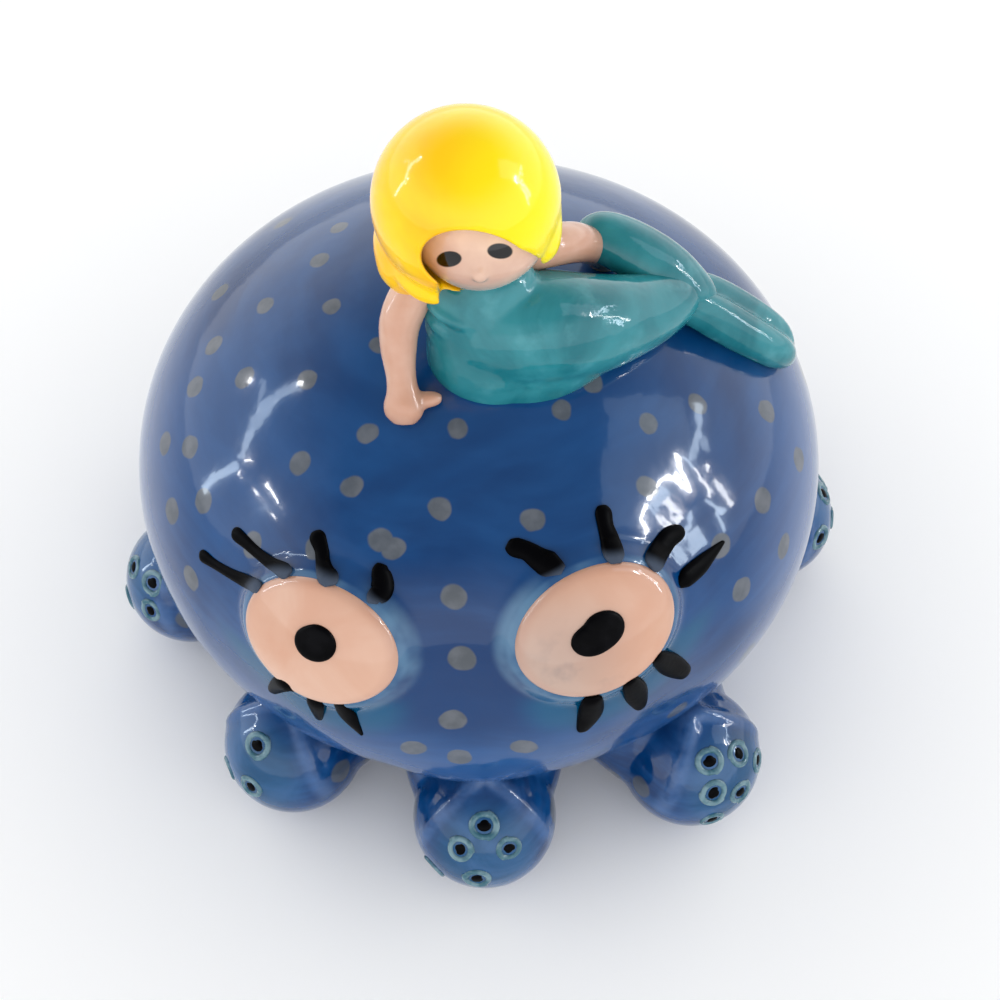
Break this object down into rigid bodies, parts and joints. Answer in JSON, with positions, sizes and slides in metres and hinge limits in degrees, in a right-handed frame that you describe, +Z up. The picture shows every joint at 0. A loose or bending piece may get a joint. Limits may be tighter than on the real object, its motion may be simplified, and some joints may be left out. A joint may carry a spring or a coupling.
{
  "type": "octopus figurine with a mermaid",
  "caption": "Glazed ceramic octopus with a round hollow head, raised eyes and stubby curled arms, and a small mermaid leaning on its crown.",
  "frame": {"origin": "on the table, under the middle of the figurine's outline", "axes": "+Z up; the face looks along -Y; +X is to the viewer's right, seen from the front"},
  "size_m": [0.1474, 0.152, 0.1374],
  "materials": {
    "blue_glaze": "glossy",
    "pale_teal_glaze": "glossy",
    "pink_glaze": "glossy",
    "black_glaze": "glossy",
    "teal_glaze": "glossy",
    "skin_glaze": "glossy",
    "yellow_glaze": "glossy"
  },
  "bodies": {
    "root": {"mantle_shell": "blue_glaze", "eye_left": "pink_glaze", "pupil_left": "black_glaze", "lashes_left": "black_glaze", "eye_right": "pink_glaze", "pupil_right": "black_glaze", "lashes_right": "black_glaze", "arm_1": "blue_glaze", "suckers_1": "pale_teal_glaze", "arm_2": "blue_glaze", "suckers_2": "pale_teal_glaze", "arm_3": "blue_glaze", "suckers_3": "pale_teal_glaze", "arm_4": "blue_glaze", "suckers_4": "pale_teal_glaze", "arm_5": "blue_glaze", "suckers_5": "pale_teal_glaze", "arm_6": "blue_glaze", "suckers_6": "pale_teal_glaze", "arm_7": "blue_glaze", "suckers_7": "pale_teal_glaze", "arm_8": "blue_glaze", "suckers_8": "pale_teal_glaze", "mermaid_body": "teal_glaze", "mermaid_fluke_lower": "teal_glaze", "mermaid_fluke_upper": "teal_glaze", "mermaid_head": "skin_glaze", "mermaid_hair": "yellow_glaze", "mermaid_arm_near": "skin_glaze", "mermaid_arm_far": "skin_glaze"}
  },
  "joints": []
}
